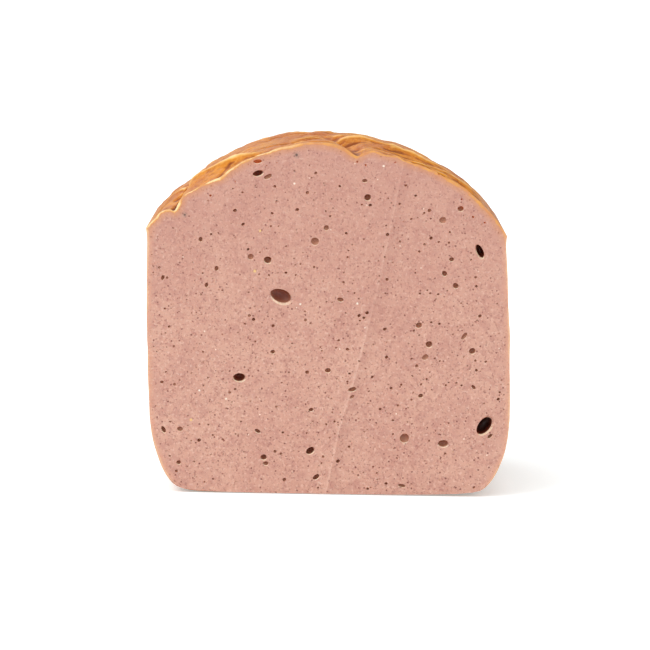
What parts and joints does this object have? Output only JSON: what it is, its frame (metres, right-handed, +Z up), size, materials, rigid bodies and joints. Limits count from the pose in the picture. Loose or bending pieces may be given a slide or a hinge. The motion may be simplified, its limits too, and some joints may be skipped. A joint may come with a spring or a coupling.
{
  "type": "leberkase",
  "caption": "End piece of a baked meat loaf with a flat cut face, a browned folded crown over the pan's rim and a flat underside.",
  "frame": {"origin": "middle of the underside's box, on the surface that the piece stands on", "axes": "+X across the loaf, +Y from the cut face along the loaf to its baked end, +Z up"},
  "size_m": [0.116, 0.09, 0.1124],
  "materials": {
    "baked_meat": "moist fine meat emulsion, pinkish beige with air pockets, under a glossy golden brown crust"
  },
  "bodies": {
    "root": {"leberkase": "baked_meat"}
  },
  "joints": []
}
